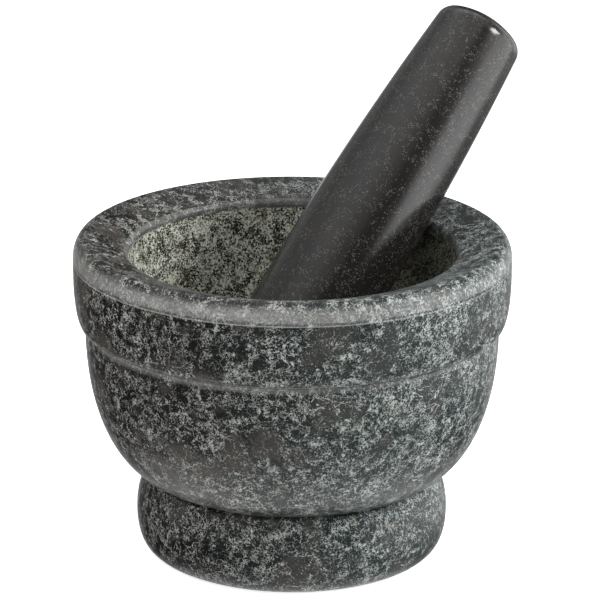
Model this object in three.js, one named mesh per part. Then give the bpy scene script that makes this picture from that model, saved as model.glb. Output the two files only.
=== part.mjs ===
// Granite mortar and pestle: a thick-walled bowl with a plain band round its rim, turned from one
// block together with its ring foot, and a loose pestle that stands leaning in it.
// Millimetres, +Z up. The origin is the centre of the flat underside of the foot.

import * as THREE from 'three';

// ---- Mortar: driving dimensions ----
const MORTAR_RADIUS = 101.6;      // outside of the rim band
const MORTAR_HEIGHT = 150.3;      // floor to the crest of the rim
const MOUTH_RADIUS = 76;          // inside of the bowl, just under the lip
const BOWL_DEPTH = 100.7;         // crest of the rim to the lowest point of the bowl
const BOWL_FULLNESS = 2.3;        // 2 is an ellipse, higher is squarer
const RIM_FALL = 18;              // degrees that the face of the rim falls towards the mouth
const RIM_OUTER_WIDTH = 5.6;      // rounding between the crest and the band, across
const RIM_OUTER_DROP = 9;         // and down
const RIM_CREST_ROUND = 6;        // rounding between the crest and the face of the rim
const RIM_INNER_ROUND = 3.2;      // rounding between the face of the rim and the mouth

const BAND_HEIGHT = 39.9;         // crest of the rim down to the ledge under the band
const BAND_SHOULDER = 23;         // height over which the band draws in above the ledge
const BAND_DRAW_IN = 3.7;         // how far the band draws in there
const LEDGE_DEPTH = 1.5;          // step in from the band to the bowl

const WAIST_HEIGHT = 37.4;        // floor to the crease between bowl and foot
const BOWL_SIDE_WIDTH = 40.8;     // half width of the oval that shapes the outside of the bowl
const BOWL_SIDE_FULLNESS = 2.25;  // its fullness, as above
const BOWL_SIDE_OVERRUN = 2;      // how far the oval would run on below the crease

const FOOT_RADIUS = 73.2;         // widest part of the foot
const FOOT_BELLY_HEIGHT = 18;     // floor to the widest part of the foot
const FOOT_TOP_ROUND = 2.2;       // rounding of the foot into the crease
const FOOT_FLAT_RADIUS = 65;      // flat face that the mortar stands on
const FOOT_BASE_FULLNESS = 2.3;

// ---- Pestle: driving dimensions ----
const PESTLE_LENGTH = 235.6;
const PESTLE_RADIUS = 27.2;       // at the fullest part
const PESTLE_BELLY = 90;          // pounding end to the fullest part
const PESTLE_BOW = 1675;          // radius of the long curve of its side
const GRIP_CROWN = 40;            // radius of the slightly domed grip end
const GRIP_ROUND = 7.3;           // rounding round the grip end

// ---- How the pestle stands in the bowl ----
const PESTLE_LEAN = 42.3;         // degrees from upright
const PESTLE_HEADING = 40.8;      // degrees from +X towards +Y
const SEAT_GAP = 0.3;             // between the pestle and the stone that it rests on

// ---- How finely the turned surfaces are faceted ----
const MORTAR_SEGMENTS = 64;       // flats round the mortar
const PESTLE_SEGMENTS = 40;       // flats round the pestle
const MORTAR_STEPS = {            // flats along each stretch of the mortar's outline
  footBase: 8, footSide: 4, crease: 3, bowlSide: 13, shoulder: 4,
  rimOuter: 7, rimCrest: 2, rimInner: 5, bowl: 17,
};
const PESTLE_STEPS = { pounding: 9, side: 8, gripRound: 5, gripCrown: 3 };
const SHORTEST_FLAT = 0.02;       // points closer than this are taken as one

const RIGHT_ANGLE = Math.PI / 2;
const degrees = (angle) => THREE.MathUtils.degToRad(angle);

// Points are [radius, height]. An arc runs from one angle to another about its centre.
function arc([radius, height], size, from, to, steps) {
  return Array.from({ length: steps + 1 }, (_, i) => {
    const angle = from + (to - from) * i / steps;
    return [radius + size * Math.cos(angle), height + size * Math.sin(angle)];
  });
}

// A quarter of a superellipse: across and up are its half sizes, and the angle runs from 0, at the
// end of across, to a right angle, at the end of up.
function quarter([radius, height], across, up, fullness, from, to, steps) {
  return Array.from({ length: steps + 1 }, (_, i) => {
    const angle = from + (to - from) * i / steps;
    return [
      radius + across * Math.abs(Math.cos(angle)) ** (2 / fullness),
      height + up * Math.abs(Math.sin(angle)) ** (2 / fullness),
    ];
  });
}

// A turned solid from its outline, which starts and ends on the axis.
function turned(outline, segments) {
  const clean = outline.filter(([r, z], i) => (
    i === 0 || Math.hypot(r - outline[i - 1][0], z - outline[i - 1][1]) > SHORTEST_FLAT
  ));
  const points = clean.map(([r, z]) => new THREE.Vector2(r < SHORTEST_FLAT ? 0 : r, z));
  return new THREE.LatheGeometry(points, segments).rotateX(RIGHT_ANGLE);
}

// ---- Mortar ----
// The face of the rim is straight. It runs from the crest's rounding into the lip's, touching both,
// which sets how high the lip is.
const bowlFloor = MORTAR_HEIGHT - BOWL_DEPTH;
const rimFall = degrees(RIM_FALL);
const crestCentre = [MORTAR_RADIUS - RIM_OUTER_WIDTH, MORTAR_HEIGHT - RIM_CREST_ROUND];
const lipRadius = MOUTH_RADIUS + RIM_INNER_ROUND;
const mouthTop = crestCentre[1] - (crestCentre[0] - lipRadius) * Math.tan(rimFall)
  + (RIM_CREST_ROUND - RIM_INNER_ROUND) / Math.cos(rimFall);
const lipCentre = [lipRadius, mouthTop];

function mortarOutline() {
  const ledge = MORTAR_HEIGHT - BAND_HEIGHT;
  const bandEdge = MORTAR_RADIUS - BAND_DRAW_IN;
  const bowlTop = bandEdge - LEDGE_DEPTH;
  const sideDrop = ledge - WAIST_HEIGHT + BOWL_SIDE_OVERRUN;
  const crease = Math.asin((1 - BOWL_SIDE_OVERRUN / sideDrop) ** (BOWL_SIDE_FULLNESS / 2));
  const bowlSide = quarter([bowlTop - BOWL_SIDE_WIDTH, ledge], BOWL_SIDE_WIDTH, -sideDrop,
    BOWL_SIDE_FULLNESS, crease, 0, MORTAR_STEPS.bowlSide);
  const creaseRadius = bowlSide[0][0];
  const footTop = WAIST_HEIGHT - FOOT_TOP_ROUND;
  const footTopRadius = creaseRadius + FOOT_TOP_ROUND;
  const footSide = (height) => {
    const share = (height - FOOT_BELLY_HEIGHT) / (footTop - FOOT_BELLY_HEIGHT);
    return FOOT_RADIUS - (FOOT_RADIUS - footTopRadius) * share ** 2;
  };
  const footHeights = Array.from({ length: MORTAR_STEPS.footSide + 1 }, (_, i) => (
    FOOT_BELLY_HEIGHT + (footTop - FOOT_BELLY_HEIGHT) * i / MORTAR_STEPS.footSide
  ));
  return [
    [0, 0],
    [FOOT_FLAT_RADIUS, 0],
    ...quarter([FOOT_FLAT_RADIUS, FOOT_BELLY_HEIGHT], FOOT_RADIUS - FOOT_FLAT_RADIUS,
      -FOOT_BELLY_HEIGHT, FOOT_BASE_FULLNESS, RIGHT_ANGLE, 0, MORTAR_STEPS.footBase),
    ...footHeights.map((height) => [footSide(height), height]),
    ...arc([creaseRadius, footTop], FOOT_TOP_ROUND, 0, RIGHT_ANGLE, MORTAR_STEPS.crease),
    ...bowlSide,
    [bandEdge, ledge],
    ...quarter([bandEdge, ledge + BAND_SHOULDER], BAND_DRAW_IN, -BAND_SHOULDER, 2,
      RIGHT_ANGLE, 0, MORTAR_STEPS.shoulder),
    ...quarter([crestCentre[0], MORTAR_HEIGHT - RIM_OUTER_DROP], RIM_OUTER_WIDTH, RIM_OUTER_DROP, 2,
      0, RIGHT_ANGLE, MORTAR_STEPS.rimOuter),
    ...arc(crestCentre, RIM_CREST_ROUND, RIGHT_ANGLE, RIGHT_ANGLE + rimFall, MORTAR_STEPS.rimCrest),
    ...arc(lipCentre, RIM_INNER_ROUND, RIGHT_ANGLE + rimFall, 2 * RIGHT_ANGLE, MORTAR_STEPS.rimInner),
    ...quarter([0, mouthTop], MOUTH_RADIUS, bowlFloor - mouthTop, BOWL_FULLNESS,
      0, RIGHT_ANGLE, MORTAR_STEPS.bowl),
  ];
}

// ---- Pestle ----
// It is turned about its own axis, from the pounding end at height 0. Its long side is one shallow
// arc, and both ends run into that arc with no corner.
const sideCentre = [PESTLE_RADIUS - PESTLE_BOW, PESTLE_BELLY];
const poundingRadius = (
  (2 * PESTLE_BOW * PESTLE_RADIUS - PESTLE_RADIUS ** 2 - PESTLE_BELLY ** 2)
  / (2 * (PESTLE_BOW - PESTLE_BELLY))
);

// The outer of the two points at given distances from two centres.
function meeting([r0, h0], reach0, [r1, h1], reach1) {
  const apart = Math.hypot(r1 - r0, h1 - h0);
  const along = (reach0 ** 2 - reach1 ** 2 + apart ** 2) / (2 * apart);
  const aside = Math.sqrt(reach0 ** 2 - along ** 2);
  const [ur, uh] = [(r1 - r0) / apart, (h1 - h0) / apart];
  return [r0 + along * ur - aside * uh, h0 + along * uh + aside * ur];
}

function angleFrom([r0, h0], [r1, h1]) {
  return Math.atan2(h1 - h0, r1 - r0);
}

function pestleOutline() {
  const poundingCentre = [0, poundingRadius];
  const crownCentre = [0, PESTLE_LENGTH - GRIP_CROWN];
  const roundCentre = meeting(
    sideCentre, PESTLE_BOW - GRIP_ROUND, crownCentre, GRIP_CROWN - GRIP_ROUND,
  );
  const sideStart = angleFrom(sideCentre, poundingCentre);
  const sideEnd = angleFrom(sideCentre, roundCentre);
  const crownStart = angleFrom(crownCentre, roundCentre);
  return [
    ...arc(poundingCentre, poundingRadius, -RIGHT_ANGLE, sideStart, PESTLE_STEPS.pounding),
    ...arc(sideCentre, PESTLE_BOW, sideStart, sideEnd, PESTLE_STEPS.side),
    ...arc(roundCentre, GRIP_ROUND, sideEnd, crownStart, PESTLE_STEPS.gripRound),
    ...arc(crownCentre, GRIP_CROWN, crownStart, RIGHT_ANGLE, PESTLE_STEPS.gripCrown),
  ];
}

// The pestle leans in one upright plane through the mortar's axis. There its side lies on the lip
// of the mouth and its pounding end on the opposite side of the bowl. This returns the lowest point
// of its axis as [distance towards the heading, height].
function pestleFoot() {
  const bowlSamples = 2000;
  const firstStep = 4;
  const lastStep = 0.001;
  const lean = degrees(PESTLE_LEAN);
  const along = [Math.sin(lean), Math.cos(lean)];
  const under = [Math.cos(lean), -Math.sin(lean)];
  const offset = ([x, z], a, b) => [
    x + a * along[0] + b * under[0],
    z + a * along[1] + b * under[1],
  ];
  const bowl = quarter([0, mouthTop], -MOUTH_RADIUS, bowlFloor - mouthTop, BOWL_FULLNESS,
    0, RIGHT_ANGLE, bowlSamples).map(([x, z]) => [-Math.abs(x), z]);

  // The foot when the side touches the lip at a given height up the pestle.
  const footAt = (touch) => {
    const turn = Math.asin((touch - PESTLE_BELLY) / PESTLE_BOW);
    const reach = PESTLE_BOW + SEAT_GAP + RIM_INNER_ROUND;
    const centre = offset(lipCentre, -reach * Math.sin(turn), -reach * Math.cos(turn));
    return offset(centre, -PESTLE_BELLY, PESTLE_BOW - PESTLE_RADIUS);
  };
  const gapAt = (touch) => {
    const [x, z] = offset(footAt(touch), poundingRadius, 0);
    return Math.min(...bowl.map(([bx, bz]) => Math.hypot(bx - x, bz - z))) - poundingRadius;
  };
  let touch = 0;
  for (let step = firstStep; step > lastStep; step /= 2) {
    while (gapAt(touch + step) > SEAT_GAP) {
      touch += step;
    }
  }
  return footAt(touch);
}

// ---- Assembly ----
const polishedGranite = new THREE.MeshStandardMaterial({
  color: 0x4a4e50, roughness: 0.42, metalness: 0,
});
const darkGranite = new THREE.MeshStandardMaterial({
  color: 0x343130, roughness: 0.34, metalness: 0,
});

const mortar = new THREE.Mesh(turned(mortarOutline(), MORTAR_SEGMENTS), polishedGranite);
mortar.name = 'mortar';

const pestle = new THREE.Mesh(turned(pestleOutline(), PESTLE_SEGMENTS), darkGranite);
pestle.name = 'pestle';
const [footReach, footHeight] = pestleFoot();
pestle.position.set(footReach, 0, footHeight);
pestle.rotation.y = degrees(PESTLE_LEAN);

const leaning = new THREE.Group();
leaning.rotation.z = degrees(PESTLE_HEADING);
leaning.add(pestle);

const group = new THREE.Group();
group.add(mortar, leaning);

export default group;
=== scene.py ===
# %% [markdown]
# # A granite mortar and its pestle
# Two pieces of stone. The mortar is one block, turned on a lathe: a thick bowl with a plain band round
# its rim, standing on a ring foot. The pestle is a long tapered roller of darker granite, polished
# smooth, that stands leaning in the bowl.
#
# The imported model is the frame: it says where each piece is and how large. This script builds the fine
# surface round it, so the frame is loaded first.

# %% Load the frame
import math

import bpy
from mathutils import Matrix, Vector


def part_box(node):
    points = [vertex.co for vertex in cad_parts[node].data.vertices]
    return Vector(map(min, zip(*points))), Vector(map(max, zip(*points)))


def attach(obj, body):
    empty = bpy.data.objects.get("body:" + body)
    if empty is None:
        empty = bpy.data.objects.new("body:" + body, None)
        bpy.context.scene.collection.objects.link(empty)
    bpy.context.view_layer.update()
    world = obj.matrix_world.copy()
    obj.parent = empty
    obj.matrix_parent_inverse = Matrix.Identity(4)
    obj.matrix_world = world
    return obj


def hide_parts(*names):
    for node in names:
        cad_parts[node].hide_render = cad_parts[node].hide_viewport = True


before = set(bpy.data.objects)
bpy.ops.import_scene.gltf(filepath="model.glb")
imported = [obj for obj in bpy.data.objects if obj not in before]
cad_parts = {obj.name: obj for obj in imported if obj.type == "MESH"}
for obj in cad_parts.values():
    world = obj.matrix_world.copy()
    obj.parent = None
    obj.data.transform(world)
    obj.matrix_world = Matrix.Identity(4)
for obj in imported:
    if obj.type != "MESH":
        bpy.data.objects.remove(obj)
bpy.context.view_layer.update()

print("pieces in the frame:", sorted(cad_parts))

# %% [markdown]
# ## The camera
# A long lens a metre and a half away, looking down a little, so that the mouth of the bowl is a narrow
# oval and the sides stay nearly upright. Its place is set by a distance and an angle above the table,
# and its aim by three more angles, which are easier to reason about than a matrix: it looks down, then
# aside, then rolls about its own line of sight.

# %% Camera
MM = 0.001
TO_MM = 1000
RIGHT_ANGLE = math.pi / 2
CAMERA_LOOKS_AT = Vector((0, 0, 70)) * MM
CAMERA_DISTANCE = 1600 * MM
CAMERA_HEIGHT_ANGLE = math.radians(20.165)
CAMERA_DOWN = math.radians(18.505)
CAMERA_ASIDE = math.radians(0.135)
CAMERA_ROLL = math.radians(0.257)
CAMERA_LENS = 204.45
SENSOR = 36
NEAREST_SEEN = 50 * MM


def add_camera():
    """The camera on the front side, -Y, above the table."""
    lens = bpy.data.cameras.new("camera")
    lens.lens = CAMERA_LENS
    lens.sensor_width = SENSOR
    lens.clip_start = NEAREST_SEEN
    camera = bpy.data.objects.new("camera", lens)
    bpy.context.scene.collection.objects.link(camera)
    back = Vector((0, -math.cos(CAMERA_HEIGHT_ANGLE), math.sin(CAMERA_HEIGHT_ANGLE)))
    turn = Matrix.Rotation(-CAMERA_ASIDE, 4, "Z")
    turn @= Matrix.Rotation(RIGHT_ANGLE - CAMERA_DOWN, 4, "X")
    turn @= Matrix.Rotation(CAMERA_ROLL, 4, "Z")
    camera.matrix_world = Matrix.Translation(CAMERA_LOOKS_AT + back * CAMERA_DISTANCE) @ turn
    bpy.context.scene.camera = camera
    return camera


camera = add_camera()
print("camera at", [round(x, 4) for x in camera.matrix_world.translation])

# %% [markdown]
# ## Building node trees in Python
# The stone's shape is made by Geometry Nodes and its finish by shader nodes. Both are trees of small
# nodes, and both use the same Math nodes, so one pair of classes serves them. A `Value` stands for an
# output socket: writing `a * b + 1` with it adds the Math nodes for that sum. A `Tree` adds every other
# node: the settings come first, because some of them change which sockets a node has.

# %% Values and trees


class Value:
    """An output socket of a tree. Sums on it add Math nodes."""

    def __init__(self, tree, socket):
        self.tree = tree
        self.socket = socket

    def __add__(self, other):
        return self.tree.math("ADD", self, other)

    def __sub__(self, other):
        return self.tree.math("SUBTRACT", self, other)

    def __rsub__(self, other):
        return self.tree.math("SUBTRACT", other, self)

    def __mul__(self, other):
        return self.tree.math("MULTIPLY", self, other)

    def __truediv__(self, other):
        return self.tree.math("DIVIDE", self, other)

    def __rtruediv__(self, other):
        return self.tree.math("DIVIDE", other, self)

    def __mod__(self, other):
        return self.tree.math("FLOORED_MODULO", self, other)

    __radd__ = __add__
    __rmul__ = __mul__

    def rises(self, start, end):
        """0 before start and 1 after end, with a smooth ramp between them."""
        return self.tree.node(
            "ShaderNodeMapRange", {"interpolation_type": "SMOOTHSTEP"},
            {"Value": self, "From Min": start, "From Max": end},
        )


class Tree:
    """A node tree, and one method that adds any node to it."""

    def __init__(self, tree):
        self.tree = tree

    def node(self, kind, settings=None, sockets=None, output=0):
        made = self.tree.nodes.new(kind)
        for name, setting in (settings or {}).items():
            setattr(made, name, setting)
        for key, value in (sockets or {}).items():
            if isinstance(value, Value):
                self.tree.links.new(value.socket, made.inputs[key])
            else:
                made.inputs[key].default_value = value
        return Value(self, made.outputs[output]) if len(made.outputs) else None

    def math(self, operation, *numbers):
        return self.node("ShaderNodeMath", {"operation": operation}, dict(enumerate(numbers)))

    def vector(self, operation, *values):
        return self.node("ShaderNodeVectorMath", {"operation": operation}, dict(enumerate(values)))

    def parts(self, vector):
        """The three numbers of a place, or of a colour."""
        made = self.node("ShaderNodeSeparateXYZ", None, {0: vector})
        return [Value(self, socket) for socket in made.socket.node.outputs]

    def join(self, x, y, z):
        return self.node("ShaderNodeCombineXYZ", None, {0: x, 1: y, 2: z})

    def mix(self, share, low, high):
        """A colour from low to high as share goes from 0 to 1."""
        return self.node(
            "ShaderNodeMix", {"data_type": "RGBA"}, {0: share, 6: low, 7: high}, output=2,
        )

    def noise(self, place, grain, detail=2.0, roughness=0.5, distortion=0.0, output=0):
        """Cloudy noise from 0 to 1 whose clouds are about grain mm apart."""
        return self.node(
            "ShaderNodeTexNoise", None,
            {
                "Vector": place, "Scale": 1 / grain, "Detail": detail,
                "Roughness": roughness, "Distortion": distortion,
            },
            output,
        )

    def cells(self, place, grain, output="Distance"):
        """Cells about grain mm across, as the crystals of a stone are."""
        return self.node(
            "ShaderNodeTexVoronoi", None, {"Vector": place, "Scale": 1 / grain}, output,
        )


print("helpers ready: Value and Tree")

# %% [markdown]
# ## Outlines
# A turned piece is known by half of its section: a line of points, each a radius and a height, that
# starts and ends on the axis. The round stretches are arcs and quarters of superellipses, so an outline
# needs only its driving sizes. Beside each point go two marks from 0 to 1: how rough the stone was left
# there, and how pale its edge is painted, partly for wear and partly as a painted highlight where the
# edge catches the light. They ride through to the finish, which then knows rough stone from honed and a
# pale edge from a plain one.

# %% Arcs and quarters


def arc(centre, size, start, end, steps):
    """Points along a circular arc from angle start to angle end."""
    angles = [start + (end - start) * i / steps for i in range(steps + 1)]
    return [(centre[0] + size * math.cos(a), centre[1] + size * math.sin(a)) for a in angles]


def quarter(centre, across, up, fullness, start, end, steps):
    """Points along a quarter of a superellipse. A fullness of 2 is an ellipse, and more is squarer."""
    angles = [start + (end - start) * i / steps for i in range(steps + 1)]
    return [
        (
            centre[0] + across * abs(math.cos(a)) ** (2 / fullness),
            centre[1] + up * abs(math.sin(a)) ** (2 / fullness),
        )
        for a in angles
    ]


def line(start, end, steps):
    """Points along a straight stretch."""
    shares = [i / steps for i in range(steps + 1)]
    return [
        (start[0] + (end[0] - start[0]) * s, start[1] + (end[1] - start[1]) * s) for s in shares
    ]


def respaced(points, spacing):
    """The same line with points at about one spacing, so that the mesh's faces are all alike."""
    lengths = [0]
    for before, after in zip(points, points[1:]):
        lengths.append(lengths[-1] + math.dist(before, after))
    steps = max(2, round(lengths[-1] / spacing))
    made = []
    near = 0
    for i in range(steps + 1):
        at = lengths[-1] * i / steps
        while near < len(points) - 2 and lengths[near + 1] < at:
            near += 1
        span = lengths[near + 1] - lengths[near]
        share = min(1, max(0, (at - lengths[near]) / span)) if span > 0 else 0
        (r0, h0), (r1, h1) = points[near], points[near + 1]
        made.append((r0 + (r1 - r0) * share, h0 + (h1 - h0) * share))
    return made


print("helpers ready: arc, quarter, line and respaced")

# %% [markdown]
# ## The mortar's outline
# From below it reads: a flat underside, a swelling ring foot, a crease at the waist, the round side of
# the bowl, a ledge, the plain band with a shallow groove, and the rounded rim, whose face falls a little
# towards the mouth. Inside, a honed lip gives way to the rough bowl. It could be pushed and pulled from
# a cylinder by hand, but an outline with named sizes keeps every round true and is easy to change.

# %% The mortar's sizes
# The two overall sizes come from the frame, and the rest are the turner's.
_, mortar_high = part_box("mortar")
MORTAR_RADIUS = mortar_high.x / MM
MORTAR_HEIGHT = mortar_high.z / MM
MOUTH_RADIUS = 76
BOWL_DEPTH = 100.7
BOWL_FULLNESS = 2.3
RIM_FALL = math.radians(18)
RIM_OUTER_ROUND = (5.6, 9)  # across and down
RIM_CREST_ROUND = 6
RIM_INNER_ROUND = 3.2
BAND_HEIGHT = 39.9
BAND_SHOULDER = 23
BAND_DRAW_IN = 3.7
LEDGE_DEPTH = 1.5
LEDGE_ROUND = 0.9
BOWL_TOP_ROUND = (1.1, 3.4)  # across and down
LEDGE_GROOVE = (0.5, 0.5)  # deep and high
BAND_CUT_SHORT = 0.25  # angle at which the band's draw-in stops, where it is nearly upright
WAIST_HEIGHT = 37.4
BOWL_SIDE_WIDTH = 40.8
BOWL_SIDE_FULLNESS = 2.25
BOWL_SIDE_OVERRUN = 2
FOOT_RADIUS = 73.2
FOOT_BELLY_HEIGHT = 18
FOOT_TOP_ROUND = 2.2
FOOT_FLAT_RADIUS = 65
FOOT_BASE_FULLNESS = 2.3
GROOVE_WIDTH = 0.8
GROOVE_DEPTH = 0.15
GROOVE_EDGE = 0.6  # height of the pale edge under the groove, worn and painted as a highlight
HONED_LIP = 8.5  # crest of the rim to the end of the honed lip inside
ROUGH_EDGE = 2.5  # height over which the honing gives way to rough stone
print("mortar:", round(2 * MORTAR_RADIUS, 1), "mm across,", round(MORTAR_HEIGHT, 1), "mm high")

# %% The stretches of the outline
FINE = 60  # points in each stretch before it is spaced evenly
LONG = 4 * FINE  # and in the longest ones
SHORTEST_STEP = 0.02
SPACING = {
    "underside": 12, "foot": 1.8, "crease": 0.7, "side": 2, "bowl top": 0.45, "ledge": 0.4,
    "band edge": 0.2, "band": 2, "groove edge": 0.3, "groove": 0.2, "rim outside": 1, "rim crest": 1,
    "rim face": 2, "rim inside": 0.6, "bowl": 1.35,
}


def mortar_stretches():
    """The stretches of the outline, from the middle of the foot to the middle of the bowl."""
    ledge = MORTAR_HEIGHT - BAND_HEIGHT
    band_edge = MORTAR_RADIUS - BAND_DRAW_IN
    side_drop = ledge - WAIST_HEIGHT + BOWL_SIDE_OVERRUN
    crease = math.asin((1 - BOWL_SIDE_OVERRUN / side_drop) ** (BOWL_SIDE_FULLNESS / 2))
    bowl_top = band_edge - LEDGE_DEPTH
    side_centre = (bowl_top - BOWL_SIDE_WIDTH, ledge)
    side = quarter(side_centre, BOWL_SIDE_WIDTH, -side_drop, BOWL_SIDE_FULLNESS, crease, 0, LONG)
    groove_low = ledge - LEDGE_GROOVE[1]
    top_round_low = groove_low - BOWL_TOP_ROUND[1]
    side = [point for point in side if point[1] < top_round_low]
    crease_radius = side[0][0]
    foot_top = WAIST_HEIGHT - FOOT_TOP_ROUND
    foot_rise = foot_top - FOOT_BELLY_HEIGHT
    foot_heights = [FOOT_BELLY_HEIGHT + foot_rise * i / FINE for i in range(FINE + 1)]

    def foot_side(height):
        share = (height - FOOT_BELLY_HEIGHT) / foot_rise
        return FOOT_RADIUS - (FOOT_RADIUS - crease_radius - FOOT_TOP_ROUND) * share ** 2

    crest = (MORTAR_RADIUS - RIM_OUTER_ROUND[0], MORTAR_HEIGHT - RIM_CREST_ROUND)
    lip_radius = MOUTH_RADIUS + RIM_INNER_ROUND
    mouth_top = crest[1] - (crest[0] - lip_radius) * math.tan(RIM_FALL)
    mouth_top += (RIM_CREST_ROUND - RIM_INNER_ROUND) / math.cos(RIM_FALL)
    lip = arc((lip_radius, mouth_top), RIM_INNER_ROUND, RIGHT_ANGLE + RIM_FALL, math.pi, FINE)
    round_start = MORTAR_HEIGHT - RIM_OUTER_ROUND[1]
    shoulder_top = ledge + BAND_SHOULDER
    groove_foot = round_start - GROOVE_WIDTH
    edge_foot = groove_foot - GROOVE_EDGE
    yield "underside", line((0, 0), (FOOT_FLAT_RADIUS, 0), 2)
    yield "foot", quarter(
        (FOOT_FLAT_RADIUS, FOOT_BELLY_HEIGHT), FOOT_RADIUS - FOOT_FLAT_RADIUS, -FOOT_BELLY_HEIGHT,
        FOOT_BASE_FULLNESS, RIGHT_ANGLE, 0, FINE,
    )
    yield "foot", [(foot_side(height), height) for height in foot_heights]
    yield "crease", arc((crease_radius, foot_top), FOOT_TOP_ROUND, 0, RIGHT_ANGLE, FINE)
    yield "side", side
    yield "bowl top", quarter(
        (side[-1][0] - BOWL_TOP_ROUND[0], top_round_low), *BOWL_TOP_ROUND, 2, 0, RIGHT_ANGLE, FINE,
    )
    groove_radius = side[-1][0] - BOWL_TOP_ROUND[0] - LEDGE_GROOVE[0]
    yield "ledge", [
        (groove_radius, groove_low), (groove_radius, ledge), (band_edge - LEDGE_ROUND, ledge),
    ]
    yield "band edge", arc(
        (band_edge - LEDGE_ROUND, ledge + LEDGE_ROUND), LEDGE_ROUND, -RIGHT_ANGLE, 0, FINE,
    )
    yield "band", quarter(
        (band_edge, shoulder_top), BAND_DRAW_IN, -BAND_SHOULDER, 2,
        RIGHT_ANGLE - BAND_CUT_SHORT, 0, FINE,
    )
    yield "band", line((MORTAR_RADIUS, shoulder_top), (MORTAR_RADIUS, edge_foot), 2)
    yield "groove edge", line((MORTAR_RADIUS, edge_foot), (MORTAR_RADIUS, groove_foot), 2)
    yield "groove", [
        (MORTAR_RADIUS - GROOVE_DEPTH * (1 - math.cos(2 * math.pi * i / FINE)) / 2,
         groove_foot + GROOVE_WIDTH * i / FINE)
        for i in range(FINE + 1)
    ]
    yield "rim outside", quarter(
        (crest[0], round_start), *RIM_OUTER_ROUND, 2, 0, RIGHT_ANGLE, FINE,
    )
    rim_crest = arc(crest, RIM_CREST_ROUND, RIGHT_ANGLE, RIGHT_ANGLE + RIM_FALL, FINE)
    yield "rim crest", rim_crest
    yield "rim face", line(rim_crest[-1], lip[0], 2)
    yield "rim inside", lip
    yield "bowl", quarter(
        (0, mouth_top), MOUTH_RADIUS, MORTAR_HEIGHT - BOWL_DEPTH - mouth_top, BOWL_FULLNESS,
        0, RIGHT_ANGLE, LONG,
    )


print("stretches:", [name for name, _ in mortar_stretches()])

# %% The outline's marks
# How pale each stretch's edge is painted: partly wear, partly a painted highlight where the edge catches
# the light.
WEAR_AND_HIGHLIGHT = {
    "bowl top": 0.35, "band edge": 1, "groove": 0.12, "groove edge": 0.45, "rim inside": 0.16,
    "rim outside": 0.36,
}
WEAR_AND_HIGHLIGHT_FADES = (4.5, 8)  # heights above the foot of the rim's rounding between which its pale mark, wear and painted highlight, fades
HONED_WEAR_AND_HIGHLIGHT = 0.16  # wear and painted highlight on the honed lip inside


def clamped(share):
    return min(1, max(0, share))


def marks_at(name, height):
    """How rough the stone is at a height on one stretch, and how pale its edge: wear and painted
    highlight.
    """
    if name == "bowl":
        rough = clamped((MORTAR_HEIGHT - HONED_LIP - height) / ROUGH_EDGE)
        return rough, HONED_WEAR_AND_HIGHLIGHT * (1 - rough)
    wear_and_highlight = WEAR_AND_HIGHLIGHT.get(name, 0)
    # On the rim's rounding the pale mark fades upwards, so that it lies where the painted highlight
    # lies.
    if name == "rim outside":
        up = height - (MORTAR_HEIGHT - RIM_OUTER_ROUND[1])
        wear_and_highlight *= clamped((WEAR_AND_HIGHLIGHT_FADES[1] - up) / (WEAR_AND_HIGHLIGHT_FADES[1] - WEAR_AND_HIGHLIGHT_FADES[0]))
    # On the bowl's top round it fades downwards, a painted highlight under the ledge.
    if name == "bowl top":
        round_top = MORTAR_HEIGHT - BAND_HEIGHT - LEDGE_GROOVE[1]
        wear_and_highlight *= clamped(1 + (height - round_top) / BOWL_TOP_ROUND[1])
    return 0, wear_and_highlight


def mortar_outline():
    """The outline's points, and beside each one its marks."""
    points = []
    marks = {"rough": [], "wear_and_highlight": []}
    for name, stretch in mortar_stretches():
        for point in respaced(stretch, SPACING[name]):
            if points and math.dist(point, points[-1]) < SHORTEST_STEP:
                continue
            points.append(point)
            rough, wear_and_highlight = marks_at(name, point[1])
            marks["rough"].append(rough)
            marks["wear_and_highlight"].append(wear_and_highlight)
    return points, marks


mortar_points, mortar_marks = mortar_outline()
rough_points = sum(mark > 0 for mark in mortar_marks["rough"])
print("mortar outline:", len(mortar_points), "points,", rough_points, "of them rough")

# %% [markdown]
# ## Turning an outline into stone
# A lathe sweeps one outline round an axis, which is a rule, so Geometry Nodes can do it. The tree makes
# a grid with one row for each outline point and one column for each step round, then moves every point
# of the grid to its row's radius and height and its column's angle. Merging the points that meet closes
# the seam and both ends. A second step presses pits and a slight unevenness into the stone, deepest
# where the marks say rough. They only go inwards, so the pestle keeps its clearance in the bowl.

# %% The turning tree
MARKS = ("rough", "wear_and_highlight")
MERGE_DISTANCE = 0.002 * MM
CHATTER = 5.5  # mm between the dents that the pick left
SWELL = 26  # mm between the slow rises and falls of a surface ground by hand


def outline_object(name, points, marks):
    """The outline as a line of mesh edges, with its marks as named values on the points."""
    mesh = bpy.data.meshes.new(name)
    edges = [(i, i + 1) for i in range(len(points) - 1)]
    mesh.from_pydata([(r * MM, 0, h * MM) for r, h in points], edges, [])
    for mark in MARKS:
        mesh.attributes.new(mark, "FLOAT", "POINT").data.foreach_set("value", marks[mark])
    made = bpy.data.objects.new(name, mesh)
    bpy.context.scene.collection.objects.link(made)
    return made


TURNING_INPUTS = (
    ("Outline Points", "NodeSocketInt"),
    ("Steps Round", "NodeSocketInt"),
    ("Pit Depth", "NodeSocketFloat"),
    ("Pit Size", "NodeSocketFloat"),
    ("Unevenness", "NodeSocketFloat"),
    ("Seed", "NodeSocketFloat"),
    ("Stone", "NodeSocketMaterial"),
)


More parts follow.
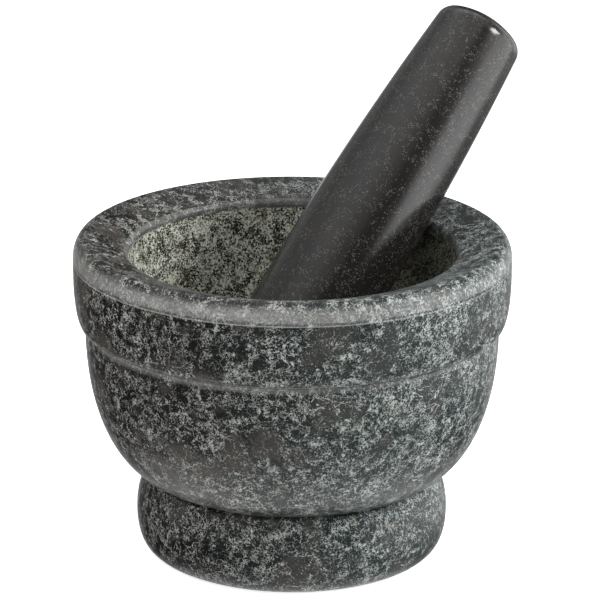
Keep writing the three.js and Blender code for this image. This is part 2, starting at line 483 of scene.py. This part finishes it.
def turning_tree():
    """Geometry Nodes that turn the object's own line of points about its Z axis."""
    group = bpy.data.node_groups.new("turned_stone", "GeometryNodeTree")
    group.interface.new_socket("Geometry", in_out="INPUT", socket_type="NodeSocketGeometry")
    for name, kind in TURNING_INPUTS:
        group.interface.new_socket(name, in_out="INPUT", socket_type=kind)
    group.interface.new_socket("Geometry", in_out="OUTPUT", socket_type="NodeSocketGeometry")
    tree = Tree(group)
    given = tree.node("NodeGroupInput").socket.node.outputs
    asked = {socket.name: Value(tree, socket) for socket in given if socket.name}

    columns = asked["Steps Round"] + 1
    grid = tree.node(
        "GeometryNodeMeshGrid", None, {"Vertices X": asked["Outline Points"], "Vertices Y": columns},
    )
    index = tree.node("GeometryNodeInputIndex")
    row = tree.math("FLOOR", index / columns)
    turn = (index % columns) / asked["Steps Round"] * (2 * math.pi)

    def on_outline(kind, value):
        return tree.node(
            "GeometryNodeSampleIndex", {"data_type": kind, "domain": "POINT"},
            {"Geometry": asked["Geometry"], "Value": value, "Index": row},
        )

    here = tree.node("GeometryNodeInputPosition")
    radius, _, height = tree.parts(on_outline("FLOAT_VECTOR", here))
    shape = tree.node(
        "GeometryNodeSetPosition", None,
        {
            "Geometry": grid,
            "Position": tree.join(
                radius * tree.math("COSINE", turn), radius * tree.math("SINE", turn), height,
            ),
        },
    )
    for mark in MARKS:
        named = tree.node("GeometryNodeInputNamedAttribute", {"data_type": "FLOAT"}, {"Name": mark})
        shape = tree.node(
            "GeometryNodeStoreNamedAttribute", {"data_type": "FLOAT", "domain": "POINT"},
            {"Geometry": shape, "Name": mark, "Value": on_outline("FLOAT", named)},
        )
    closed = tree.node(
        "GeometryNodeMergeByDistance", None, {"Geometry": shape, "Distance": MERGE_DISTANCE},
    )
    closed = tree.node("GeometryNodeFlipFaces", None, {"Mesh": closed})

    scale = (TO_MM, TO_MM, TO_MM)
    seeded = tree.vector("MULTIPLY_ADD", here, scale, tree.join(asked["Seed"], 0, 0))
    zone = tree.node("GeometryNodeInputNamedAttribute", {"data_type": "FLOAT"}, {"Name": "rough"})
    chips = (1 - tree.cells(seeded, asked["Pit Size"])).rises(0.35, 0.95)
    chatter = tree.noise(seeded, CHATTER, detail=3, roughness=0.6)
    slow = tree.noise(seeded, SWELL, detail=1)
    pressed = zone * asked["Pit Depth"] * (chips * 0.6 + chatter * 0.8) + slow * asked["Unevenness"]
    normal = tree.node("GeometryNodeInputNormal")
    inwards = tree.node(
        "ShaderNodeVectorMath", {"operation": "SCALE"}, {"Vector": normal, "Scale": pressed * -MM},
    )
    pitted = tree.node("GeometryNodeSetPosition", None, {"Geometry": closed, "Offset": inwards})
    smooth = tree.node("GeometryNodeSetShadeSmooth", None, {"Geometry": pitted})
    real = tree.node("GeometryNodeRealizeInstances", None, {"Geometry": smooth})
    faced = tree.node(
        "GeometryNodeSetMaterial", None, {"Geometry": real, "Material": asked["Stone"]},
    )
    tree.node("NodeGroupOutput", None, {"Geometry": faced})
    return group


turning = turning_tree()
print("turning tree:", len(turning.nodes), "nodes")

# %% Run the tree on an outline
TO_CM3 = 1e6


def turned_stone(name, outline, sizes, stone):
    """A plain mesh object turned from an outline object, with the tree's inputs from sizes."""
    lathe = outline.modifiers.new("turned", "NODES")
    lathe.node_group = turning
    identifiers = {
        item.name: item.identifier for item in turning.interface.items_tree if item.in_out == "INPUT"
    }
    for key, value in {**sizes, "Stone": stone}.items():
        lathe[identifiers[key]] = value
    bpy.context.view_layer.update()
    evaluated = outline.evaluated_get(bpy.context.evaluated_depsgraph_get())
    mesh = bpy.data.meshes.new_from_object(evaluated)
    mesh.name = name
    made = bpy.data.objects.new(name, mesh)
    bpy.context.scene.collection.objects.link(made)
    outline.modifiers.remove(lathe)
    bpy.data.objects.remove(outline)
    return made


def signed_volume(mesh):
    """A mesh's volume in cubic centimetres, above 0 where its faces point outwards."""
    mesh.calc_loop_triangles()
    spots = [v.co for v in mesh.vertices]
    total = 0
    for triangle in mesh.loop_triangles:
        a, b, c = (spots[i] for i in triangle.vertices)
        total += a.dot(b.cross(c)) / 6
    return round(total * TO_CM3)


print("helpers ready: turned_stone and signed_volume")

# %% [markdown]
# ## The studio
# Dark polished stone shows its surroundings more than its own colour, so the room matters as much as
# the lamp. It has a pale table below, a bright panel on the right, a long dimmer one in front on the
# left, and faint ones high up and behind. The panels are painted on the room, each a soft-edged
# rectangle set by two angles, and one real softbox high on the right gives the shadows. The floor is
# seen by the camera and throws light back up, but the stone mirrors the painted room instead of it,
# which keeps the reflection of the table near the foot.

# %% Floor
FLOOR_HALF = 15
FLOOR_PAINT = (0.9, 0.9, 0.9, 1)
FLOOR_GLOW = 0.8
floor_mesh = bpy.data.meshes.new("floor")
floor_corners = [(x * FLOOR_HALF, y * FLOOR_HALF, 0) for x, y in ((-1, -1), (1, -1), (1, 1), (-1, 1))]
floor_mesh.from_pydata(floor_corners, [], [(0, 1, 2, 3)])
floor = bpy.data.objects.new("floor", floor_mesh)
floor.visible_glossy = False
bpy.context.scene.collection.objects.link(floor)


def new_material(name):
    """An empty material and its tree."""
    material = bpy.data.materials.new(name)
    material.use_nodes = True
    material.node_tree.nodes.clear()
    return material, Tree(material.node_tree)


def pale_paint():
    """A matt pale paint for the floor, which the camera sees a little overexposed."""
    material, tree = new_material("pale_floor")
    paint = tree.node("ShaderNodeBsdfDiffuse", None, {"Color": FLOOR_PAINT})
    seen = tree.node("ShaderNodeLightPath", None, None, output="Is Camera Ray")
    glow = tree.node("ShaderNodeEmission", None, {"Strength": seen * FLOOR_GLOW})
    shader = tree.node("ShaderNodeAddShader", None, {0: paint, 1: glow})
    tree.node("ShaderNodeOutputMaterial", None, {"Surface": shader})
    return material


floor_mesh.materials.append(pale_paint())
print("floor:", 2 * FLOOR_HALF, "m square")

# %% Room and lamp
BOWL_MIDDLE = Vector((0, 0, 120)) * MM
WHITE = (1, 1, 1, 1)
ROOM_LEVEL = 0.07
ROOM_SEEN = 1.05  # how bright the camera itself sees the room
# Each panel in degrees: right of the camera's side, up, half its width, half its height, and how soft
# its edge is. Its strength comes last.
PANELS = (
    ("front_left", -50, 14, 52, 15, 8, 1.05),
    ("front_low", 30, -22, 55, 16, 14, 0.55),
    ("right", 80, 0, 26, 20, 8, 2.9),
    ("right_back", 124, 6, 22, 26, 10, 1.6),
    ("table", 0, -90, 200, 42, 14, 2.2),
    ("high_left", -70, 55, 50, 15, 10, 0.5),
    ("front_high", 2, 47, 26, 12, 6, 0.5),
    ("overhead", 0, 90, 200, 38, 10, 0.9),
    ("back_high", 180, 58, 60, 16, 10, 0.8),
    ("back_left", -135, 30, 38, 24, 14, 0.42),
    ("backdrop", 180, -20, 22, 18, 8, 0.9),
)


def heading(aside, up):
    """A direction from two angles: degrees right of the camera's side, and degrees up."""
    aside = math.radians(aside)
    up = math.radians(up)
    return Vector((math.sin(aside) * math.cos(up), -math.cos(aside) * math.cos(up), math.sin(up)))


def add_room():
    """A room of painted panels. The camera itself sees it plain and pale."""
    world = bpy.data.worlds.new("room")
    world.use_nodes = True
    world.node_tree.nodes.clear()
    tree = Tree(world.node_tree)
    place = tree.node("ShaderNodeTexCoord", None, None, output="Generated")
    right, back, up = tree.parts(place)
    aside = tree.math("ARCTAN2", right, back * -1) * math.degrees(1)
    up = tree.math("ARCSINE", up) * math.degrees(1)
    glow = ROOM_LEVEL
    for _, middle, height, half_width, half_height, soft, strength in PANELS:
        off = tree.math("PINGPONG", aside - middle, 180)
        across = 1 - off.rises(half_width - soft, half_width + soft)
        off = tree.math("ABSOLUTE", up - height)
        upright = 1 - off.rises(half_height - soft, half_height + soft)
        glow = across * upright * strength + glow
    seen = tree.node("ShaderNodeLightPath", None, None, output="Is Camera Ray")
    shown = seen * (ROOM_SEEN - glow) + glow
    background = tree.node("ShaderNodeBackground", None, {"Color": WHITE, "Strength": shown})
    tree.node("ShaderNodeOutputWorld", None, {"Surface": background})
    bpy.context.scene.world = world


def add_softbox(name, aside, up, distance, size, power):
    """A rectangular soft light in a direction from the bowl, aimed at it. Distances in mm."""
    light = bpy.data.lights.new(name, "AREA")
    light.shape = "RECTANGLE"
    light.size = size[0] * MM
    light.size_y = size[1] * MM
    light.energy = power
    lamp = bpy.data.objects.new(name, light)
    bpy.context.scene.collection.objects.link(lamp)
    back = heading(aside, up)
    turn = back.to_track_quat("Z", "Y").to_matrix().to_4x4()
    lamp.matrix_world = Matrix.Translation(BOWL_MIDDLE + back * distance * MM) @ turn


add_room()
add_softbox("key_softbox", aside=72, up=36, distance=1400, size=(500, 350), power=12)
bpy.context.scene.view_settings.view_transform = "Standard"

# %% [markdown]
# ## Granite
# Granite is a pack of crystals: a dark one that fills most of the stone, and pale ones in clusters, with
# hair-thin pale veins between them. Cells stand for crystals, cloudy noise says where they gather, and
# thin ridges of noise are the veins. Every pattern reads the place in the stone, in millimetres, so it
# runs through the block as real grain does, and nothing slides when the pestle is lifted. An image of
# granite would need a flat layout of a bowl, and its grain would stretch or tear at the rim.

# %% Shared parts of both granites
STIR = 1.6  # mm between the places where a pattern is pushed one way and another


def stone_place(tree, warp):
    """The place in the stone in mm, a little stirred so that no crystal has straight sides."""
    place = tree.node("ShaderNodeTexCoord", None, None, output="Object")
    place = tree.node("ShaderNodeMapping", None, {"Vector": place, "Scale": (TO_MM, TO_MM, TO_MM)})
    stir = tree.noise(place, STIR, detail=1, output=1)
    stir = tree.vector("SUBTRACT", stir, (0.5, 0.5, 0.5))
    stirred = tree.vector("MULTIPLY_ADD", stir, (warp, warp, warp), place)
    return place, stirred


def crystals(tree, stirred, grain, share):
    """Pale on a share of the cells, each to its own strength, and 0 on the rest."""
    chance, strength, _ = tree.parts(tree.cells(stirred, grain, output="Color"))
    return (chance + share - 1).rises(0, 0.05) * (strength * 0.75 + 0.25)


def veins(tree, place, grain, width):
    """Hair-thin pale lines that wander between the crystals."""
    cloud = tree.noise(place, grain, detail=3, roughness=0.55, distortion=0.6)
    ridge = tree.math("ABSOLUTE", cloud - 0.5)
    return 1 - ridge.rises(width * 0.3, width)


def principled(tree, material, **sockets):
    """Finish a material with the usual shader. Its sockets are named with _ for each space."""
    names = {key.replace("_", " "): value for key, value in sockets.items()}
    shader = tree.node("ShaderNodeBsdfPrincipled", None, names)
    tree.node("ShaderNodeOutputMaterial", None, {"Surface": shader})
    return material


print("helpers ready: stone_place, crystals, veins and principled")

# %% The colour of the honed stone
CHARCOAL = (0.004, 0.0045, 0.0045, 1)
BROWN_GREY = (0.056, 0.049, 0.043, 1)
BLUE_GREY = (0.014, 0.024, 0.026, 1)
PALE_FLECK = (0.58, 0.58, 0.54, 1)
COOL_FLECK = (0.48, 0.57, 0.55, 1)
CREAM = (0.4, 0.36, 0.26, 1)
VEIN = (0.55, 0.56, 0.53, 1)
# In mm: how far apart the clusters, patches and flecks lie, how large the crystals are, and how far
# a vein or a thread runs before it turns.
CLUSTER = 5
PATCH = 22
FLECK = 0.85
SMALL_CRYSTAL = 1.1
LARGE_CRYSTAL = 2.2
VEIN_RUN = 7
VEIN_GAP = 16
THREAD_RUN = 3
TONE_AND_LIGHT_ACROSS = (-75, 70)  # x from the darker, less lit side of the block to the paler, lit one: partly its own tone, partly painted light


def honed_colour(tree, place, stirred):
    """Dark crystals, brown-grey patches, and pale flecks and veins that gather in clusters.

    The block is a little cooler towards its right side, its own tint, and paler there, which is partly
    painted light from the lit side. tone_and_light follows both.
    """
    # 0 on the left and 1 on the right: more flecks and a paler dark towards the lit right side, partly
    #                                   painted light.
    tone_and_light = tree.parts(place)[0].rises(*TONE_AND_LIGHT_ACROSS)
    cluster = tree.noise(place, CLUSTER, detail=4, roughness=0.72).rises(0.36, 0.68)
    patch = tree.noise(place, PATCH, detail=4, roughness=0.6).rises(0.49, 0.62)
    thick = (cluster * 0.75 + tone_and_light * 0.2) * (1 - patch * 0.6)
    grit = tree.noise(stirred, FLECK, detail=4, roughness=0.8)
    fleck = (grit + thick * 0.13).rises(0.61, 0.65) * (cluster * 0.4 + 0.6)
    small = crystals(tree, stirred, SMALL_CRYSTAL, thick * 0.14)
    large = crystals(tree, stirred, LARGE_CRYSTAL, thick * 0.07)
    dark = tree.mix(patch * 0.9, CHARCOAL, BROWN_GREY)
    dark = tree.mix(tone_and_light * 0.6, dark, BLUE_GREY)
    tint = tree.mix(tone_and_light * 0.8, PALE_FLECK, COOL_FLECK)
    colour = tree.mix(fleck * 0.72, dark, tint)
    colour = tree.mix(small * 0.75, colour, tint)
    colour = tree.mix(large * 0.6, colour, CREAM)
    vein = veins(tree, stirred, VEIN_RUN, 0.012) * tree.noise(place, VEIN_GAP).rises(0.4, 0.56)
    thread = veins(tree, stirred, THREAD_RUN, 0.022) * thick.rises(0.1, 0.6)
    colour = tree.mix(thread * 0.6, colour, VEIN)
    return tree.mix(vein * 0.8, colour, VEIN)


print("honed stone: crystals of", SMALL_CRYSTAL, "and", LARGE_CRYSTAL, "mm")

# %% The colour of the rough stone inside
ROUGH_PALE = (0.78, 0.8, 0.66, 1)
ROUGH_WHITE = (0.9, 0.92, 0.84, 1)
ROUGH_PIT = (0.012, 0.012, 0.009, 1)
ROUGH_BROWN = (0.07, 0.045, 0.022, 1)
SHADED_BROWN = (0.02, 0.013, 0.008, 1)
BRUISE = 6  # mm apart, as the rest of these are
PICK_MARK = 0.75
BRIGHT_CHIP = 0.9
PIT = 1.1
STAIN = 8
PAINTED_SHADE_SIDE = (10, 65)  # where the painted shade on the bowl's right side begins, and where it is darkest


def rough_colour(tree, place, stirred):
    """Pecked stone: bruised pale all over, dark in its pits, with brown stains, and painted shade on its
    right side.
    """
    bruised = tree.noise(place, BRUISE, detail=3, roughness=0.7)
    grit = tree.noise(stirred, PICK_MARK, detail=2, roughness=0.7)
    tone = (grit + bruised * 0.5).rises(0.71, 0.79)
    colour = tree.mix(tone, ROUGH_PIT, ROUGH_PALE)
    chips = crystals(tree, stirred, BRIGHT_CHIP, bruised.rises(0.3, 0.7) * 0.4)
    colour = tree.mix(chips, colour, ROUGH_WHITE)
    pits = crystals(tree, place, PIT, 0.26)
    colour = tree.mix(pits * 0.95, colour, ROUGH_PIT)
    brown = tree.noise(place, STAIN, detail=4, roughness=0.75).rises(0.56, 0.64)
    colour = tree.mix(brown * 0.75, colour, ROUGH_BROWN)
    # Painted shade on the bowl's right side, where the pestle and the rim shade it.
    shaded = tree.parts(place)[0].rises(*PAINTED_SHADE_SIDE)
    return tree.mix(shaded * 0.6, colour, SHADED_BROWN)


print("rough stone: pits of", PIT, "mm")

# %% The mortar's granite
# The pale of the edges: worn stone, and also a painted highlight on the rim's rounding and the ledge.
WEAR_AND_HIGHLIGHT_PALE = (0.76, 0.76, 0.73, 1)
HONED_GRAIN = 0.1 * MM  # how deep the grain stands on the honed outside
ROUGH_GRAIN = 1 * MM  # and inside the bowl
RAGGED = 4  # mm between the tongues where honed and rough stone meet
WEAR_AND_HIGHLIGHT_PATCH = 1.2
GRAIN = 0.9
HIGHLIGHT_CUT_ACROSS = (-30, 90)  # x from where the pale edge is fullest to where it is faintest: the painted highlight is cut back on the right, where the lamp lights the edges


def own_mark(tree, name):
    """A mark that came through from the outline."""
    return tree.node("ShaderNodeAttribute", {"attribute_name": name}, None, output="Fac")


def mortar_granite():
    """Honed outside, rough inside, a broken edge between, and pale edges: wear and a painted highlight.
    """
    material, tree = new_material("mortar_granite")
    place, stirred = stone_place(tree, 0.9)
    ragged = tree.noise(place, RAGGED, detail=3, roughness=0.7) - 0.5
    rough = (own_mark(tree, "rough") + ragged * 1.2).rises(0.3, 0.6)
    patchy = tree.noise(stirred, WEAR_AND_HIGHLIGHT_PATCH, detail=3, roughness=0.8).rises(0.35, 0.6)
    highlight_cut = tree.parts(place)[0].rises(*HIGHLIGHT_CUT_ACROSS)
    # The pale edges, partly wear and partly a painted highlight, with less of it on the lit right side.
    wear_and_highlight = own_mark(tree, "wear_and_highlight") * (patchy * 0.5 + 0.5) * (1 - highlight_cut * 0.6)
    colour = tree.mix(wear_and_highlight * 0.85, honed_colour(tree, place, stirred), WEAR_AND_HIGHLIGHT_PALE)
    colour = tree.mix(rough, colour, rough_colour(tree, place, stirred))
    grain = tree.noise(stirred, GRAIN, detail=2)
    honed_bump = tree.node(
        "ShaderNodeBump", None, {"Strength": 0.15, "Distance": HONED_GRAIN, "Height": grain},
    )
    bump = tree.node(
        "ShaderNodeBump", None,
        {"Strength": 1.0, "Distance": ROUGH_GRAIN, "Height": rough * grain, "Normal": honed_bump},
    )
    return principled(
        tree, material, Base_Color=colour, Roughness=0.3 + grain * 0.1 + rough * 0.4, Normal=bump,
        Specular_IOR_Level=0.22, Coat_Weight=wear_and_highlight.rises(0, 0.4), Coat_Roughness=0.38, Coat_IOR=1.8,
    )


mortar_stone = mortar_granite()
print("mortar granite:", len(mortar_stone.node_tree.nodes), "nodes")

# %% Turn the mortar
mortar_sizes = {
    "Outline Points": len(mortar_points), "Steps Round": 400, "Pit Depth": 0.55, "Pit Size": 2.4,
    "Unevenness": 0.05, "Seed": 3.0,
}
mortar_line = outline_object("mortar_outline", mortar_points, mortar_marks)
mortar = turned_stone("stone_mortar", mortar_line, mortar_sizes, mortar_stone)
print("mortar:", len(mortar.data.polygons), "faces,", signed_volume(mortar.data), "cm3")

# %% [markdown]
# ## The pestle
# The pestle is ground from a bar of darker granite. Its side is one long bow, fullest below the middle,
# with a round pounding end and a slightly domed grip. The same turning tree makes it upright, and then
# it is stood in the bowl: it leans on the mouth, and its pounding end sits on the slope of the bowl.
# The lean goes into the mesh and not into the object, because a finished piece is left unturned.

# %% The pestle's sizes and outline
PESTLE_LENGTH = 235.6
PESTLE_RADIUS = 27.2
PESTLE_BELLY = 90
PESTLE_BOW = 1675
GRIP_CROWN = 40
GRIP_ROUND = 7.3
PESTLE_LEAN = math.radians(42.3)
PESTLE_HEADING = math.radians(40.8)
PESTLE_SPACING = 1.4
side_centre = (PESTLE_RADIUS - PESTLE_BOW, PESTLE_BELLY)
pounding_radius = (
    (2 * PESTLE_BOW * PESTLE_RADIUS - PESTLE_RADIUS ** 2 - PESTLE_BELLY ** 2)
    / (2 * (PESTLE_BOW - PESTLE_BELLY))
)


def meeting(first, first_reach, second, second_reach):
    """The outer of the two points at given distances from two centres."""
    apart = math.dist(first, second)
    along = (first_reach ** 2 - second_reach ** 2 + apart ** 2) / (2 * apart)
    aside = math.sqrt(first_reach ** 2 - along ** 2)
    across = ((second[0] - first[0]) / apart, (second[1] - first[1]) / apart)
    return (
        first[0] + along * across[0] - aside * across[1],
        first[1] + along * across[1] + aside * across[0],
    )


def direction(start, end):
    """The angle of the line from one point to another."""
    return math.atan2(end[1] - start[1], end[0] - start[0])


def pestle_outline(spacing):
    """Four arcs, each meeting the next without a corner."""
    pounding_centre = (0, pounding_radius)
    crown_centre = (0, PESTLE_LENGTH - GRIP_CROWN)
    round_centre = meeting(
        side_centre, PESTLE_BOW - GRIP_ROUND, crown_centre, GRIP_CROWN - GRIP_ROUND,
    )
    side_start = direction(side_centre, pounding_centre)
    side_end = direction(side_centre, round_centre)
    crown_start = direction(crown_centre, round_centre)
    stretches = (
        arc(pounding_centre, pounding_radius, -RIGHT_ANGLE, side_start, FINE),
        arc(side_centre, PESTLE_BOW, side_start, side_end, FINE),
        arc(round_centre, GRIP_ROUND, side_end, crown_start, FINE),
        arc(crown_centre, GRIP_CROWN, crown_start, RIGHT_ANGLE, FINE),
    )
    points = []
    for stretch in stretches:
        for point in respaced(stretch, spacing):
            if not points or math.dist(point, points[-1]) > SHORTEST_STEP:
                points.append((max(0, point[0]), point[1]))
    return points


pestle_points = pestle_outline(PESTLE_SPACING)
print("pestle outline:", len(pestle_points), "points")

# %% The pestle's granite
PESTLE_DARK = (0.006, 0.0055, 0.0055, 1)
PESTLE_HAZE = (0.02, 0.017, 0.0155, 1)
SPECK_CLUSTER = 5  # mm, as the rest of these are
FINE_SPECK = 0.5
LARGE_SPECK = 0.85
HAZE = 12


def pestle_granite():
    """Nearly black, a little hazy, with fine pale specks, and polished."""
    material, tree = new_material("pestle_granite")
    place, stirred = stone_place(tree, 0.6)
    gather = tree.noise(place, SPECK_CLUSTER, detail=3, roughness=0.7).rises(0.4, 0.65)
    fine = crystals(tree, stirred, FINE_SPECK, gather * 0.24 + 0.03)
    large = crystals(tree, stirred, LARGE_SPECK, 0.013)
    cloud = tree.noise(place, HAZE, detail=3, roughness=0.6)
    dark = tree.mix(cloud, PESTLE_DARK, PESTLE_HAZE)
    colour = tree.mix(fine * 0.17, dark, PALE_FLECK)
    colour = tree.mix(large * 0.55, colour, PALE_FLECK)
    return principled(tree, material, Base_Color=colour, Roughness=0.2)


pestle_stone = pestle_granite()
print("pestle granite:", len(pestle_stone.node_tree.nodes), "nodes")

# %% Turn the pestle and stand it in the bowl
pestle_sizes = {
    "Outline Points": len(pestle_points), "Steps Round": 256, "Pit Depth": 0.0, "Pit Size": 2.4,
    "Unevenness": 0.04, "Seed": 11.0,
}
no_marks = dict.fromkeys(MARKS, [0] * len(pestle_points))
pestle_line = outline_object("pestle_outline", pestle_points, no_marks)
pestle = turned_stone("stone_pestle", pestle_line, pestle_sizes, pestle_stone)
pestle_low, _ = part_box("pestle")
pounding_centre = pestle_low + Vector((1, 1, 1)) * pounding_radius * MM
stand = Matrix.Translation(pounding_centre)
stand @= Matrix.Rotation(PESTLE_HEADING, 4, "Z") @ Matrix.Rotation(PESTLE_LEAN, 4, "Y")
stand @= Matrix.Translation((0, 0, -pounding_radius * MM))
pestle.data.transform(stand)
pestle.data.update()
print("pestle:", len(pestle.data.polygons), "faces,", signed_volume(pestle.data), "cm3")

# %% [markdown]
# ## Hooking up
# Each fine piece rides on its own piece of the frame and takes its place. The fine pieces must not be
# larger.

# %% Hook the pieces to the frame
for piece, node in ((mortar, "mortar"), (pestle, "pestle")):
    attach(piece, node)
    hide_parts(node)
